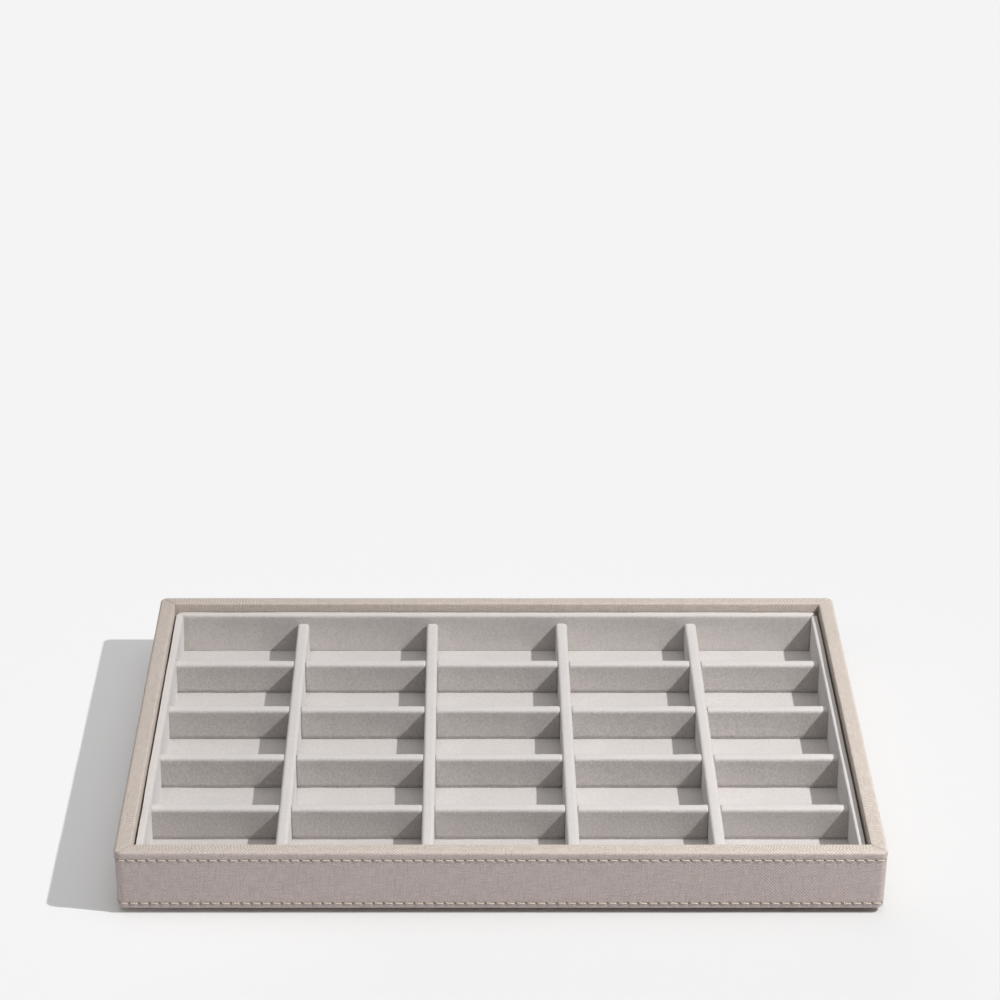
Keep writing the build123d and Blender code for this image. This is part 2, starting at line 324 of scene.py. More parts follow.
def side_place(q, half_along, half_out, radius):
    """Along and out on one side's outline. q runs 0 to 1 round half a corner, to 2 along the straight, and to 3."""
    if 1 <= q <= 2:
        return (q - 1.5) * 2 * (half_along - radius), half_out
    turn = math.radians(135 - 45 * q if q < 1 else 180 - 45 * q)
    middle = radius - half_along if q < 1 else half_along - radius
    return middle + radius * math.cos(turn), half_out - radius + radius * math.sin(turn)


def arc(centre, radius, start, end, steps):
    """Points on an arc of a section, its angles in degrees, without the first."""
    turns = [math.radians(start + (end - start) * i / steps) for i in range(1, steps + 1)]
    return [(centre[0] + radius * math.cos(t), centre[1] + radius * math.sin(t)) for t in turns]


def running_length(points):
    """How far along a line of points each of them is."""
    total = [0.0]
    for a, b in zip(points, points[1:]):
        total.append(total[-1] + math.dist(a, b))
    return total


def section_normals(points):
    """The way each point of a section faces, to the left of its run."""
    normals = []
    for i, _ in enumerate(points):
        before, after = points[max(i - 1, 0)], points[min(i + 1, len(points) - 1)]
        run = Vector((after[0] - before[0], after[1] - before[1])).normalized()
        normals.append((-run.y, run.x))
    return normals


def unevenness(place, size, amount):
    """A smooth random step of up to about the amount, that changes over the size."""
    return noise.noise(Vector(place) / size) * amount


def new_piece(name, vertices, faces, uvs, material, attributes=None):
    """A mesh object that rides with the tray, smooth shaded, with the surface map that its finish follows."""
    mesh = bpy.data.meshes.new(name)
    mesh.from_pydata(vertices, [], faces)
    layer = mesh.uv_layers.new(name="Surface")
    layer.data.foreach_set("uv", [c for uv in uvs for c in uv])
    for attribute, values in (attributes or {}).items():
        mesh.attributes.new(attribute, "FLOAT", "POINT").data.foreach_set("value", values)
    mesh.materials.append(material)
    worked = bmesh.new()
    worked.from_mesh(mesh)
    bmesh.ops.recalc_face_normals(worked, faces=worked.faces)
    worked.to_mesh(mesh)
    worked.free()
    mesh.shade_smooth()
    piece = bpy.data.objects.new(name, mesh)
    bpy.context.scene.collection.objects.link(piece)
    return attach(piece, "root")


def skin_faces(rings, closed, us, vs):
    """Faces through rings of points, each ring closed, and their surface map. An open run gets a cap at each end."""
    count = len(rings[0])
    faces, uvs = [], []
    for c in range(len(rings) if closed else len(rings) - 1):
        d = (c + 1) % len(rings)
        for r in range(count):
            s = (r + 1) % count
            faces.append((c * count + r, d * count + r, d * count + s, c * count + s))
            uvs += [(us[c], vs[r]), (us[c + 1], vs[r]), (us[c + 1], vs[r + 1]), (us[c], vs[r + 1])]
    if not closed:
        for c in (0, len(rings) - 1):
            faces.append(tuple(range(c * count, (c + 1) * count)))
            uvs += [(p[0] + p[1], p[2]) for p in rings[c]]
    return faces, uvs


def stitch_runs(half_along, sizes):
    """For one side of the wrap: its length, half a corner's, and how many stitches fit it."""
    corner = sizes.corner_radius * math.pi / 4
    total = 2 * corner + 2 * (half_along - sizes.corner_radius)
    return total, corner, round(total / sizes.stitch_pitch)


def leaned(x, y, z, sizes):
    """Draw a place on the outside of the wrap in: three tenths of the way just under the rim, and the rest lower."""
    depth = (LEATHER_HIGH.z - sizes.rim_roll - z) / (LEATHER_HIGH.z - LEATHER_LOW.z - sizes.rim_roll)
    share = max(0.0, min(1.0, depth))
    share = 0.7 * share + 0.3 * min(1.0, 9 * share)
    return x * (1 - share * sizes.lean_sides / LEATHER_HIGH.x), y * (1 - share * sizes.lean_front / LEATHER_HIGH.y), z


def q_at(s, total, corner):
    """The outline's q at a distance s along one side of the wrap."""
    if s <= corner:
        return s / corner
    if s >= total - corner:
        return 3 - (total - s) / corner
    return 1 + (s - corner) / (total - 2 * corner)


def rolled(normal):
    """How far a point of a section is on a rolled edge, from the way it faces."""
    across, up = abs(normal[0]), abs(normal[1])
    return max(0.0, 1 - abs(across - 0.7) / 0.5) if up > 0.2 and across > 0.2 else 0.0


def wrap_section(rows, sizes):
    """The wrap's show side and its back as (inset, height), and which of their points stay where the sides lean in."""
    low, rim = LEATHER_LOW.z, LEATHER_HIGH.z
    roll, inner, base, mouth = sizes.rim_roll, sizes.mouth_roll, sizes.base_roll, sizes.mouth_inset
    skin = sizes.leather
    # Under the base, up the outside with its points close together at the stitches, over the rim and down inside
    show = [(sizes.turn_under, low), (8 * MM, low), (base, low)]
    show += arc((base, low + base), base, 270, 180, 6)
    near_row = (-0.9, -0.5, -0.24, 0.0, 0.24, 0.5, 0.9)
    heights = [rows[0] + step * MM for step in near_row[2:]] + [rows[1] + step * MM for step in near_row]
    heights += [rows[0] + (rows[1] - rows[0]) * i / 9 for i in range(1, 9)]
    show += [(0.0, h) for h in sorted(heights) if low + base < h < rim - roll] + [(0.0, rim - roll)]
    show += arc((roll, rim - roll), roll, 180, 90, 6)
    first_still = len(show) - 1
    show += [(roll + (mouth - roll - inner) * i / 4, rim) for i in range(1, 5)]
    show += arc((mouth - inner, rim - inner), inner, 90, 0, 6)
    show += [(mouth + sizes.lean_mouth * min(1.0, 0.85 * i), rim - inner - (sizes.turn_down - inner) * i / 5)
             for i in range(1, 6)]
    # The skin's thickness further in, up behind the lining, over the rim and down to the base
    back = [(mouth - skin, rim - sizes.turn_down), (mouth - skin, rim - roll)]
    back += arc((mouth - roll, rim - roll), roll - skin, 0, 90, 2) + [(roll, rim - skin)]
    still = range(first_still, len(show) + len(back))
    back += arc((roll, rim - roll), roll - skin, 90, 180, 2)
    back += [(skin, low + base)] + arc((base, low + base), base - skin, 180, 270, 2) + [(sizes.turn_under, low + skin)]
    return show, back, still


def wrap_stops(total, stitches):
    """Distances along a side of the wrap at which the skin has points, close together at the needle holes."""
    pitch, corner_step = total / stitches, 0.13 * MM
    stops = {k * pitch + f * pitch for k in range(stitches) for f in (0, 0.085, 0.28, 0.5, 0.72, 0.915)}
    return sorted(stops | {corner_step, total - corner_step})


def skin_step(place, inset, hole, fold, rows, sizes):
    """How far the skin stands out at a place, and how far the place is in a needle hole.

    hole is the distance along the rows to the nearest hole, and fold the distance to the corner's fold.
    """
    step, pierced = unevenness(place, 24 * MM, 0.06 * MM), 0.0
    if inset == 0:
        hole_radius, hole_depth, row_reach, row_depth = 0.33 * MM, 0.14 * MM, 0.5 * MM, 0.10 * MM
        for row in rows:
            off = place[2] - row
            pierced += math.exp(-(hole ** 2 + off ** 2) / hole_radius ** 2)
            step -= row_depth * math.exp(-(off / row_reach) ** 2)
        step -= hole_depth * pierced
    if place[2] > LEATHER_HIGH.z - sizes.rim_roll - 0.01 * MM or inset > sizes.rim_roll:
        fold_reach, fold_depth = 0.20 * MM, 0.22 * MM
        step -= fold_depth * math.exp(-(fold / fold_reach) ** 2)
    return step, pierced


class TRAY_OT_leather_wrap(bpy.types.Operator):
    """Wrap the box in one skin of leatherette, rolled over the rim and turned under the base"""

    bl_idname = "tray.leather_wrap"
    bl_label = "Leather wrap"

    def execute(self, context):
        sizes = context.scene.tray_sizes
        rim, roll = LEATHER_HIGH.z, sizes.rim_roll
        rows = (LEATHER_LOW.z + sizes.lower_row, rim - sizes.upper_row)
        show, back, still = wrap_section(rows, sizes)
        facing = section_normals(show)
        edge_tones = [rolled(normal) for normal in facing] + [0.0] * len(back)
        section = show + back
        rings, us, edge_tone, hole_shades, rim_painted_light = [], [], [], [], []
        stitches_before = 0
        for side in SIDES:
            along, out = side_halves(side, LEATHER_HIGH)
            total, corner, stitches = stitch_runs(along, sizes)
            pitch = total / stitches
            for s in wrap_stops(total, stitches):
                q = q_at(s, total, corner)
                hole = abs(s / pitch - round(s / pitch)) * pitch
                ring = []
                for i, (inset, z) in enumerate(section):
                    radius = max(sizes.corner_radius - inset, sizes.mouth_radius)
                    pierced = 0.0
                    if i < len(show):
                        a, o = side_place(q, along - inset, out - inset, radius)
                        step, pierced = skin_step((*turned(side, a, o), z), inset, hole,
                                                  fold_distance(a, o, along, out), rows, sizes)
                        across, up = facing[i]
                        inset, z = inset + step * across, z + step * up
                    a, o = side_place(q, along - inset, out - inset, radius)
                    place = (*turned(side, a, o), z)
                    ring.append(place if i in still else leaned(*place, sizes))
                    # How much painted shade the point gets from a needle hole
                    hole_shades.append(min(1.0, pierced))
                    # The rim's painted light starts a little way down its outside roll
                    rim_painted_light.append(max(0.0, min(1.0, 1.2 + (z - rim) / roll)) if inset < roll else 1.0)
                edge_tone += edge_tones
                rings.append(ring)
                us.append((stitches_before + s / pitch) * sizes.stitch_pitch)
            stitches_before += stitches
        us.append(stitches_before * sizes.stitch_pitch)
        faces, uvs = skin_faces(rings, True, us, running_length(section + section[:1]))
        wrap = new_piece("leather_skin", [p for ring in rings for p in ring], faces, uvs,
                         leatherette(context.scene.tray_colours),
                         {"rolled_edge_tone": edge_tone, "needle_hole_shade": hole_shades, "rim_painted_light": rim_painted_light})
        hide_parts("leather_wrap")
        return {"FINISHED"}


def thread_rings(line, radius, swell):
    """Rings of eight points round a thread that follows a line of points and is drawn thin at both ends."""
    rings = []
    last = len(line) - 1
    for i, centre in enumerate(line):
        run = (line[min(i + 1, last)] - line[max(i - 1, 0)]).normalized()
        across = run.cross(Vector((0, 0, 1))).normalized()
        up = across.cross(run)
        thin = radius * (0.75 if i in (0, last) else 1.0 + swell)
        turns = [2 * math.pi * n / 8 for n in range(8)]
        rings.append([tuple(centre + thin * (math.cos(w) * across + math.sin(w) * up)) for w in turns])
    return rings


class TRAY_OT_stitching(bpy.types.Operator):
    """Sew the two rows of stitches round the outside"""

    bl_idname = "tray.stitching"
    bl_label = "Stitching"

    def execute(self, context):
        sizes = context.scene.tray_sizes
        material = sewing_thread(context.scene.tray_colours)
        heights = {"upper": LEATHER_HIGH.z - sizes.upper_row, "lower": LEATHER_LOW.z + sizes.lower_row}
        steps = 10
        for name, height in heights.items():
            vertices, faces, uvs = [], [], []
            for side in SIDES:
                along, out = side_halves(side, LEATHER_HIGH)
                total, corner, stitches = stitch_runs(along, sizes)
                pitch = total / stitches
                for k in range(stitches):
                    # No two stitches slant, sit and swell quite the same
                    slope, shift, swell = (unevenness((k * 0.37 + n, height / MM, along / MM), 1.0, 1.0)
                                           for n in range(3))
                    line = []
                    for i in range(steps + 1):
                        # The thread lies on the leather and dives into its hole at each end
                        t = i / steps
                        s = (k + 0.12 + 0.76 * t) * pitch
                        lift = 0.06 * MM - 0.50 * MM * abs(2 * t - 1) ** 6
                        slant = (0.10 + 0.06 * slope) * (2 * t - 1) * MM + 0.05 * shift * MM
                        q = q_at(min(max(s, 0), total), total, corner)
                        a, o = side_place(q, along + lift, out + lift, sizes.corner_radius + lift)
                        line.append(Vector(leaned(*turned(side, a, o), height + slant, sizes)))
                    rings = thread_rings(line, sizes.thread / 2, 0.06 * swell)
                    us = running_length([tuple(p) for p in line])
                    made, made_uvs = skin_faces(rings, False, us, [n / 8 for n in range(9)])
                    start = len(vertices)
                    vertices += [p for ring in rings for p in ring]
                    faces += [tuple(start + v for v in face) for face in made]
                    uvs += made_uvs
            new_piece(f"stitches_{name}", vertices, faces, uvs, material)
        return {"FINISHED"}


def pile_step(place, size):
    """How far the velvet stands out at a place: its pile, and the board's waviness over the size."""
    return unevenness(place, 1.1 * MM, 0.08 * MM) + unevenness(place, size, 0.16 * MM)


def lining_section(deep, roll, top, sizes):
    """The lining's show side and its back as (inset, height). deep is its thickness."""
    low, tight = LINING_LOW.z, sizes.lining_outer_roll
    # Up the inside face, over the top and down the outside
    show = [(deep, low + (top - roll - low) * i / 10) for i in range(11)]
    show += arc((deep - roll, top - roll), roll, 0, 90, 6) + [(deep / 2, top), (tight, top)]
    show += arc((tight, top - tight), tight, 90, 180, 4)
    show += [(0.0, top - tight - (sizes.lining_turn_down - tight) * i / 3) for i in range(1, 4)]
    skin = 0.3 * MM
    back = [(skin, top - sizes.lining_turn_down), (skin, top - skin), (deep - roll, top - skin)]
    back += [(deep - skin, top - roll), (deep - skin, low)]
    return show, back


class TRAY_OT_lining(bpy.types.Operator):
    """Cover the four lining boards with velvet, mitred at the corners"""

    bl_idname = "tray.lining"
    bl_label = "Lining velvet"

    def execute(self, context):
        sizes = context.scene.tray_sizes
        material = insert_velvet(context.scene.tray_colours)
        for side in SIDES:
            thinner, gap, lower, crease_depth, roll_share, least_painted_light = LINING_FIT[side]
            along, out = side_halves(side, LINING_HIGH)
            along, out, deep = along - thinner * MM, out - gap * MM, sizes.lining - thinner * MM
            roll, top = roll_share * sizes.lining_roll, LINING_HIGH.z - lower * MM
            show, back = lining_section(deep, roll, top, sizes)
            facing = section_normals(show)
            section = show + back
            # A millimetre apart along the straight, and four more places round each half corner
            count = round(2 * (along - sizes.lining_corner) / (1.0 * MM))
            stops = [0.0, 0.15, 0.4, 0.7] + [1 + i / count for i in range(count + 1)] + [2.3, 2.6, 2.85, 3.0]
            rings = []
            for q in stops:
                ring = []
                for i, (inset, z) in enumerate(section):
                    radius = max(sizes.lining_corner - inset, 0.3 * MM)
                    if i < len(show):
                        a, o = side_place(q, along - inset, out - inset, radius)
                        crease = math.exp(-(fold_distance(a, o, along, out) / (0.45 * MM)) ** 2)
                        step = pile_step((*turned(side, a, o), z), 14 * MM) - crease_depth * MM * crease
                        across, up = facing[i]
                        inset, z = inset - step * across, z - step * up
                    a, o = side_place(q, along - inset, out - inset, radius)
                    ring.append((*turned(side, a, o), z))
                rings.append(ring)
            us = running_length([ring[0] for ring in rings])
            faces, uvs = skin_faces(rings, False, us, running_length(section + section[:1]))
            # Painted light pales the crest, and the whole panel at least as much as its fit gives
            crest_painted_light = [max(least_painted_light, min(1.0, 1 + (z - top) / roll)) for ring in rings for _, _, z in ring]
            panel = new_piece(f"lining_cover_{side}", [p for ring in rings for p in ring], faces, uvs, material,
                              {"brushed": crest_painted_light})
            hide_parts(f"lining_velvet_{side}")
        return {"FINISHED"}


def rounding(distance, radius):
    """How far a quarter round has dropped at this distance from its end."""
    if distance >= radius:
        return 0.0
    return radius - math.sqrt(max(0.0, radius ** 2 - (radius - distance) ** 2))


def slab_rings(half_x, half_y, flat_z, back_z, corner, edge, step, rough):
    """Rings across a thin pad, its show face at flat_z and its back at back_z, with rounded corners and edge.

    step is how far apart its points are, and rough gives how far the face stands up at a place.
    """
    way = 1 if flat_z > back_z else -1
    near_end = (0.0, 0.08, 0.3, 0.65, 1.0)
    count = round(2 * (half_x - max(corner, edge)) / step)
    ends = sorted({f * max(edge, 0.1 * MM) for f in near_end} | {f * corner for f in near_end})
    xs = [-half_x + e for e in ends]
    xs += [xs[-1] + 2 * (half_x - ends[-1]) * i / count for i in range(1, count)]
    xs += [half_x - e for e in reversed(ends)]
    rows = round(2 * half_y / step)
    rings = []
    for x in xs:
        reach = half_x - abs(x)
        wide = half_y - (rounding(reach, corner) if corner else 0.0)
        drop = rounding(reach, edge)
        side = [(x, wide, back_z), (x, wide, flat_z - way * edge)]
        for turn in (30, 60):
            t = math.radians(turn)
            side.append((x, wide - edge * (1 - math.cos(t)),
                         flat_z - way * edge * (1 - math.sin(t)) - way * drop * math.sin(t)))
        ring = [(x, -y, z) for x, y, z in side]
        for i in range(rows + 1):
            y = (wide - edge) * (2 * i / rows - 1)
            ring.append((x, y, flat_z - way * drop + (rough((x, y, flat_z)) if drop == 0 else 0.0)))
        rings.append(ring + side[::-1])
    return rings


def slab_piece(name, rings, material, brushed):
    """A pad from its rings, with its surface map laid flat and one even amount of painted light on its pile."""
    faces, _ = skin_faces(rings, False, [0.0] * len(rings), [0.0] * (len(rings[0]) + 1))
    vertices = [p for ring in rings for p in ring]
    uvs = [vertices[v][:2] for face in faces for v in face]
    return new_piece(name, vertices, faces, uvs, material, {"brushed": [brushed] * len(vertices)})


class TRAY_OT_floor_velvet(bpy.types.Operator):
    """Lay the velvet on the floor of the insert"""

    bl_idname = "tray.floor_velvet"
    bl_label = "Floor velvet"

    def execute(self, context):
        material = insert_velvet(context.scene.tray_colours)
        rings = slab_rings(FLOOR_HIGH.x, FLOOR_HIGH.y, FLOOR_HIGH.z, FLOOR_LOW.z,
                           corner=0.0, edge=0.15 * MM, step=1.2 * MM,
                           rough=lambda p: unevenness(p, 9 * MM, 0.12 * MM) - 0.05 * MM)
        # The floor's pile gets half the crests' painted light
        laid = slab_piece("floor_cloth", rings, material, brushed=0.5)
        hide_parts("floor_velvet")
        return {"FINISHED"}


class TRAY_OT_foot_velvet(bpy.types.Operator):
    """Cover the foot with velvet"""

    bl_idname = "tray.foot_velvet"
    bl_label = "Foot velvet"

    def execute(self, context):
        sizes = context.scene.tray_sizes
        material = velvet("short_pile_velvet_grey", context.scene.tray_colours.foot, depth=0.3)
        rings = slab_rings(FOOT_HIGH.x, FOOT_HIGH.y, FOOT_LOW.z, FOOT_HIGH.z,
                           corner=sizes.foot_corner, edge=sizes.foot_edge, step=1.6 * MM,
                           rough=lambda p: unevenness(p, 12 * MM, 0.08 * MM) + 0.05 * MM)
        cover = slab_piece("foot_cloth", rings, material, brushed=0.0)
        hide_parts("foot_velvet")
        return {"FINISHED"}


def divider_stops(half_length, ends):
    """Places along a divider at which it has a section: a millimetre apart, and closer at its ends and slots."""
    xs = {x for x, _, _ in ends}
    for x, way, radius in ends:
        xs |= {x + way * radius * f for f in (0.03, 0.15, 0.4, 0.7, 1.0)}
    count = round(2 * half_length / (1.0 * MM))
    for i in range(count + 1):
        x = -half_length + 2 * half_length * i / count
        if min(abs(x - known) for known in xs) > 0.35 * MM:
            xs.add(x)
    return sorted(xs)


def divider_faces(xs, section, cuts, last_low, from_above):
    """Faces and surface map of a divider through its sections at xs, without what is cut away in its slots.

    last_low is the section's point, counted from either end, at which the slots stop.
    """
    whole = list(range(len(section)))
    upper = whole[last_low:len(section) - last_low]
    lower = whole[:last_low + 1] + whole[len(section) - 1 - last_low:]
    left_over, wall = (lower, upper) if from_above else (upper, lower)
    faces, uvs = [], []
    vs = running_length(section + section[:1])
    width = len(section)
    slotted = [any(low - 1e-9 <= (p + n) / 2 <= high + 1e-9 for low, high in cuts) for p, n in zip(xs, xs[1:])]
    for c, cut in enumerate(slotted):
        rows = left_over if cut else whole
        for r, s in zip(rows, rows[1:] + rows[:1]):
            faces.append((c * width + r, (c + 1) * width + r, (c + 1) * width + s, c * width + s))
            uvs += [(xs[c], vs[r]), (xs[c + 1], vs[r]), (xs[c + 1], vs[s]), (xs[c], vs[s])]
    # A cap at both ends, and a wall where a slot starts or stops
    for c in range(len(xs)):
        at_end = c in (0, len(xs) - 1)
        if at_end or slotted[c - 1] != slotted[c]:
            rows = whole if at_end else wall
            faces.append(tuple(c * width + r for r in rows))
            uvs += [section[r] for r in rows]
    return faces, uvs


def divider_mesh(half_length, low, high, half_width, roll, cuts, cut_z, from_above, eases, side_painted_light, place):
    """A velvet-covered bar along X, slotted from above or below up to cut_z, and the painted light on its pile.

    Each cut is (start, end). eases are the radii of the bar's ends and of each slot's first and second lip. Painted
    light pales the pile on its crest, and on its -Y side as much as the argument after eases says, and place puts a
    point of the bar in the tray.
    """
    side = [low + (cut_z - low) * i / 4 for i in range(5)]
    side += [cut_z + (high - roll - cut_z) * i / 4 for i in range(1, 5)]
    left = [(-half_width, z) for z in side]
    arch = arc((roll - half_width, high - roll), roll, 180, 90, 7) + [(0.0, high)]
    section = left + arch + [(-y, z) for y, z in reversed(left + arch[:-1])]
    ends = [(-half_length, 1, eases[0])] + [e for c in cuts for e in ((c[0], -1, eases[1]), (c[1], 1, eases[2]))]
    ends += [(half_length, -1, eases[0])]
    xs = divider_stops(half_length, ends)
    # The velvet gives most near the crest
    crest_depth = 3.0 * MM
    vertices, brushed = [], []
    for x in xs:
        drop, narrow = 0.0, 0.0
        for end, way, radius in ends:
            reach = (x - end) * way
            if 0 <= reach < radius:
                drop = max(drop, rounding(reach, radius))
                narrow = max(narrow, 0.3 * drop)
        for y, z in section:
            share = max(0.0, (z - (high - crest_depth)) / crest_depth)
            at = place(x, y, z)
            z -= drop * share - pile_step(at, 17 * MM) * share
            y = y * (1 - narrow / half_width) + math.copysign(0.5 * unevenness(at, 1.3 * MM, 0.06 * MM), y)
            # Painted light pales the crest, and the -Y side as far as the bar's side setting says
            brushed.append(max(side_painted_light if y < 0 else 0.0, min(1.0, 1 + (z - high) / roll)))
            vertices.append(place(x, y, z))
    return vertices, *divider_faces(xs, section, cuts, 4, from_above), brushed


class TRAY_OT_dividers(bpy.types.Operator):
    """Cover the eight dividers with velvet, halved into each other as in an egg crate"""

    bl_idname = "tray.dividers"
    bl_label = "Divider velvet"

    def execute(self, context):
        sizes = context.scene.tray_sizes
        material = insert_velvet(context.scene.tray_colours)
        long_boxes = [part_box(f"long_divider_velvet_{n}") for n in range(1, 5)]
        cross_boxes = [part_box(f"cross_divider_velvet_{n}") for n in range(1, 5)]
        long_places = [(low.x + high.x) / 2 for low, high in long_boxes]
        cross_places = [(low.y + high.y) / 2 for low, high in cross_boxes]
        half_width = (LONG_HIGH.x - LONG_LOW.x) / 2
        slot = half_width + sizes.slot_clearance
        middle = LONG_LOW.z + (CROSS_HIGH.z - CROSS_LOW.z) / 2
        cuts = [(y - slot, y + slot) for y in cross_places]
        for n, (x, (low, high)) in enumerate(zip(long_places, long_boxes), 1):
            # The long dividers' faces turned to the right, towards the key lamp, get painted light
            *parts, brushed = divider_mesh(high.y, low.z, high.z, half_width, sizes.divider_roll, cuts,
                                           cut_z=middle + sizes.slot_clearance, from_above=False,
                                           eases=(1.0 * MM, 0.0, 0.0), side_painted_light=0.9,
                                           place=lambda along, across, up: (x - across, along, up))
            bar = new_piece(f"long_divider_cover_{n}", *parts, material, {"brushed": brushed})
            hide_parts(f"long_divider_velvet_{n}")
        cuts = [(x - slot, x + slot) for x in long_places]
        for n, (y, (low, high)) in enumerate(zip(cross_places, cross_boxes), 1):
            *parts, brushed = divider_mesh(high.x, low.z, high.z, half_width, sizes.divider_roll, cuts,
                                           cut_z=middle, from_above=True,
                                           eases=(0.6 * MM, 0.5 * MM, 0.5 * MM), side_painted_light=0.0,
                                           place=lambda along, across, up: (along, y + across, up))
            bar = new_piece(f"cross_divider_cover_{n}", *parts, material, {"brushed": brushed})
            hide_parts(f"cross_divider_velvet_{n}")
        return {"FINISHED"}


class TRAY_OT_boards(bpy.types.Operator):
    """Finish the boards under the coverings"""

    bl_idname = "tray.boards"
    bl_label = "Boards"

    def execute(self, context):
        colours = context.scene.tray_colours
        fibreboard = pressed_board("medium_density_fibreboard", colours.fibreboard, fibre=0.5 * MM, contrast=0.35)
        card = pressed_board("recycled_greyboard", colours.card, fibre=0.7 * MM, contrast=0.25)
        for name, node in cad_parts.items():
            # A hidden node has a covering that stands for it
            if node.hide_render:
                continue
            board = fibreboard if name.startswith(("wall", "base", "foot")) else card
            node.data.materials.clear()
            node.data.materials.append(board)
        return {"FINISHED"}


def backdrop_paper(tone):
    """Matt backdrop paper. It shows as one even tone and keeps the tray's shadow."""
    paper, tree = new_material("matt_backdrop_paper")
    where = add(tree, "ShaderNodeTexCoord").outputs["Object"]
    # The key lamp's light on the floor falls off with the cube of its distance, and the ceiling's is even
    reach = add(tree, "ShaderNodeVectorMath", {0: where, 1: KEY_PLACE}, operation="DISTANCE").outputs["Value"]
    reach = add(tree, "ShaderNodeMath", {0: reach, 1: -3.0}, operation="POWER")
    light = add(tree, "ShaderNodeMath", {0: reach.outputs[0], 1: KEY_POWER * KEY_PLACE[2] / (4 * math.pi ** 2),
                                         2: OPEN_FILL}, operation="MULTIPLY_ADD")
    # The tray's own lit sides add a little on its right and in front of it
    apart = add(tree, "ShaderNodeSeparateXYZ", {"Vector": where})
    bounce = BOUNCE
    for axis, none, full in BOUNCE_EDGES:
        near = add(tree, "ShaderNodeMapRange", {"Value": apart.outputs[axis], "From Min": none, "From Max": full})
        bounce = add(tree, "ShaderNodeMath", {0: near.outputs["Result"], 1: bounce}, operation="MULTIPLY").outputs[0]
    light = add(tree, "ShaderNodeMath", {0: light.outputs[0], 1: bounce}, operation="ADD")
    # The paper is darker where it gets more light, so that its tone is even. It is never paler than real paper is, and
    # where the light is too weak for it, it glows for the camera alone
    palest = 0.92
    shade = add(tree, "ShaderNodeMath", {0: tone, 1: light.outputs[0]}, operation="DIVIDE")
    shade = add(tree, "ShaderNodeMath", {0: shade.outputs[0], 1: palest}, operation="MINIMUM")
    rest = add(tree, "ShaderNodeMath", {0: shade.outputs[0], 1: light.outputs[0]}, operation="MULTIPLY")
    rest = add(tree, "ShaderNodeMath", {0: tone, 1: rest.outputs[0]}, operation="SUBTRACT", use_clamp=True)
    seen = add(tree, "ShaderNodeLightPath").outputs["Is Camera Ray"]
    rest = add(tree, "ShaderNodeMath", {0: rest.outputs[0], 1: seen}, operation="MULTIPLY")
    # Its fibre is about a millimetre across
    fibre = add(tree, "ShaderNodeTexNoise", {"Vector": where, "Scale": 0.9 / MM, "Detail": 2.0})
    fleck = add(tree, "ShaderNodeMath", {0: fibre.outputs["Fac"], 1: 0.01, 2: 0.995}, operation="MULTIPLY_ADD")
    shade = add(tree, "ShaderNodeMath", {0: shade.outputs[0], 1: fleck.outputs[0]}, operation="MULTIPLY")
    shade = add(tree, "ShaderNodeCombineColor", {name: shade.outputs[0] for name in ("Red", "Green", "Blue")})
    matt = add(tree, "ShaderNodeBsdfDiffuse", {"Color": shade.outputs["Color"]})
    glow = add(tree, "ShaderNodeEmission", {"Color": (1, 1, 1, 1), "Strength": rest.outputs[0]})
    both = add(tree, "ShaderNodeAddShader", {0: matt.outputs["BSDF"], 1: glow.outputs["Emission"]})
    add(tree, "ShaderNodeOutputMaterial", {"Surface": both.outputs[0]})
    return paper


def soft_ceiling(plain):
    """A wide soft ceiling, brightest overhead, which the camera sees as the plain tone of the floor."""
    world = bpy.data.worlds.new("soft_ceiling")
    world.use_nodes = True
    tree = world.node_tree
    tree.nodes.clear()
    sky = add(tree, "ShaderNodeSeparateXYZ", {"Vector": add(tree, "ShaderNodeTexCoord").outputs["Generated"]})
    up = add(tree, "ShaderNodeMath", {0: sky.outputs["Z"], 1: 0.0}, operation="MAXIMUM")
    up = add(tree, "ShaderNodeMath", {0: up.outputs[0], 1: CEILING_FOCUS}, operation="POWER")
    # Gathered like this, 2 / (focus + 2) of its strength overhead reaches level ground
    overhead = (OPEN_FILL - HORIZON_FILL) * (CEILING_FOCUS + 2) / 2
    glow = add(tree, "ShaderNodeMath", {0: up.outputs[0], 1: overhead, 2: HORIZON_FILL}, operation="MULTIPLY_ADD")
    seen = add(tree, "ShaderNodeLightPath").outputs["Is Camera Ray"]
    fill = add(tree, "ShaderNodeBackground", {"Color": (1, 1, 1, 1), "Strength": glow.outputs[0]})
    plain = add(tree, "ShaderNodeBackground", {"Color": plain, "Strength": 1.0})
    both = add(tree, "ShaderNodeMixShader", {0: seen, 1: fill.outputs[0], 2: plain.outputs[0]})
    add(tree, "ShaderNodeOutputWorld", {"Surface": both.outputs[0]})
    return world


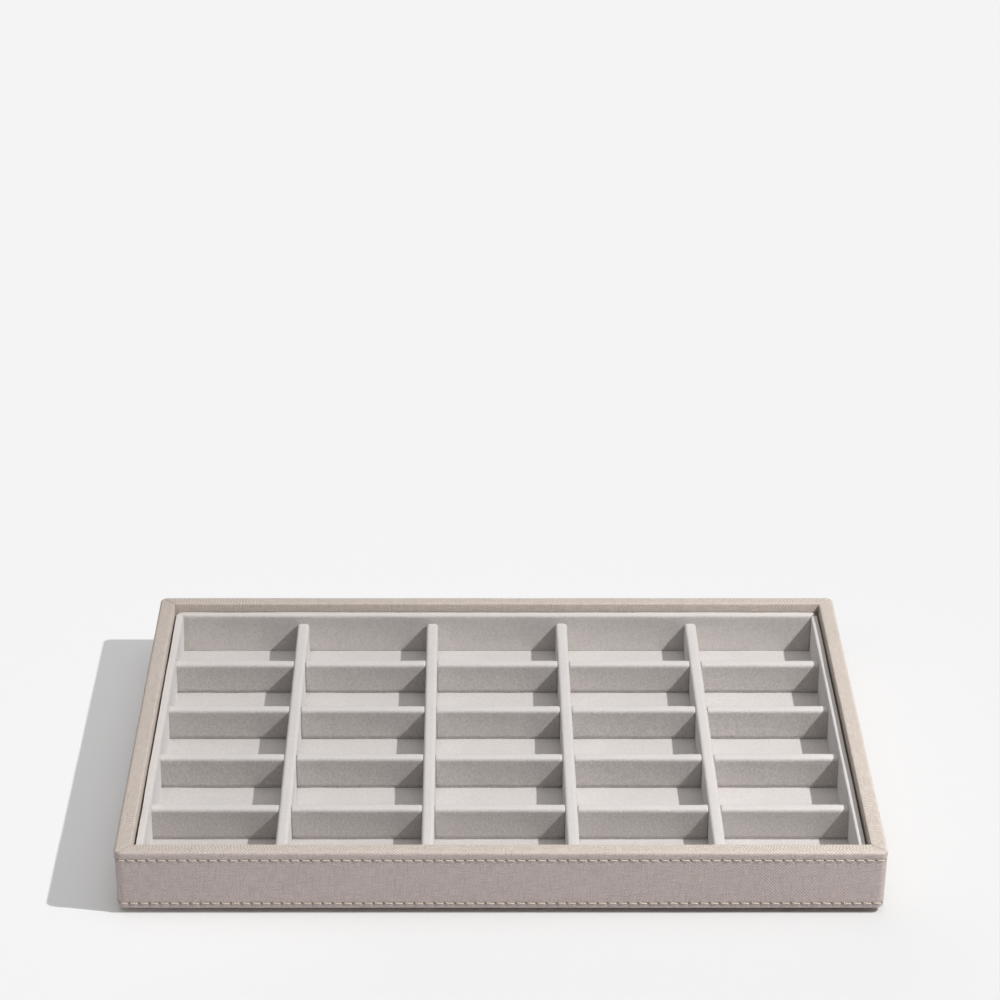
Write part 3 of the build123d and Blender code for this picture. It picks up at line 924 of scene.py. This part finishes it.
class TRAY_OT_stage(bpy.types.Operator):
    """Set up the pale floor, the lamps and the camera"""

    bl_idname = "tray.stage"
    bl_label = "Stage"

    def execute(self, context):
        scene = context.scene
        tone = scene.tray_colours.floor
        mesh = bpy.data.meshes.new("floor")
        # The floor is a hair below the tray, so that the two don't share a plane
        half, level = 4.0, -0.02 * MM
        mesh.from_pydata([(-half, -half, level), (half, -half, level), (half, half, level), (-half, half, level)], [],
                         [(0, 1, 2, 3)])
        mesh.materials.append(backdrop_paper(tone[0]))
        floor = bpy.data.objects.new("floor", mesh)
        scene.collection.objects.link(floor)

        # The key lamp is a small flash head less than a metre off, to the right and a little to the front
        key = bpy.data.lights.new("key_lamp", "POINT")
        key.energy = KEY_POWER
        key.shadow_soft_size = 10 * MM
        lamp = bpy.data.objects.new("key_lamp", key)
        lamp.location = KEY_PLACE
        scene.collection.objects.link(lamp)
        scene.world = soft_ceiling(tone)

        lens = bpy.data.cameras.new("camera")
        lens.sensor_width = 36.0
        lens.lens = 115.12
        lens.shift_x = 0.0308
        lens.clip_start, lens.clip_end = 0.01, 20.0
        camera = bpy.data.objects.new("camera", lens)
        camera.location = CAMERA_PLACE
        camera.rotation_euler = (math.radians(90 - CAMERA_PITCH), 0.0, 0.0)
        scene.collection.objects.link(camera)
        scene.camera = camera
        scene.view_settings.view_transform = "Standard"
        return {"FINISHED"}


OPERATORS = (TRAY_OT_stage, TRAY_OT_leather_wrap, TRAY_OT_stitching, TRAY_OT_lining, TRAY_OT_floor_velvet,
             TRAY_OT_dividers, TRAY_OT_foot_velvet, TRAY_OT_boards)


class TRAY_PT_panel(bpy.types.Panel):
    """The steps that finish the tray, in order, with its sizes and colours"""

    bl_idname = "TRAY_PT_panel"
    bl_label = "Jewellery tray"
    bl_space_type = "VIEW_3D"
    bl_region_type = "UI"
    bl_category = "Jewellery tray"

    def draw(self, context):
        for operator in OPERATORS:
            self.layout.operator(operator.bl_idname)
        for group in (context.scene.tray_sizes, context.scene.tray_colours):
            box = self.layout.box()
            for name in group.bl_rna.properties.keys():
                if name not in ("name", "rna_type"):
                    box.prop(group, name)


CLASSES = (TraySizes, TrayColours, *OPERATORS, TRAY_PT_panel)


def register():
    for item in CLASSES:
        bpy.utils.register_class(item)
    bpy.types.Scene.tray_sizes = bpy.props.PointerProperty(type=TraySizes)
    bpy.types.Scene.tray_colours = bpy.props.PointerProperty(type=TrayColours)


def unregister():
    del bpy.types.Scene.tray_colours
    del bpy.types.Scene.tray_sizes
    for item in reversed(CLASSES):
        bpy.utils.unregister_class(item)


def main():
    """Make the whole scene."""
    register()
    bpy.ops.tray.stage()
    bpy.ops.tray.leather_wrap()
    bpy.ops.tray.stitching()
    bpy.ops.tray.lining()
    bpy.ops.tray.floor_velvet()
    bpy.ops.tray.dividers()
    bpy.ops.tray.foot_velvet()
    bpy.ops.tray.boards()


if __name__ == "__main__":
    main()
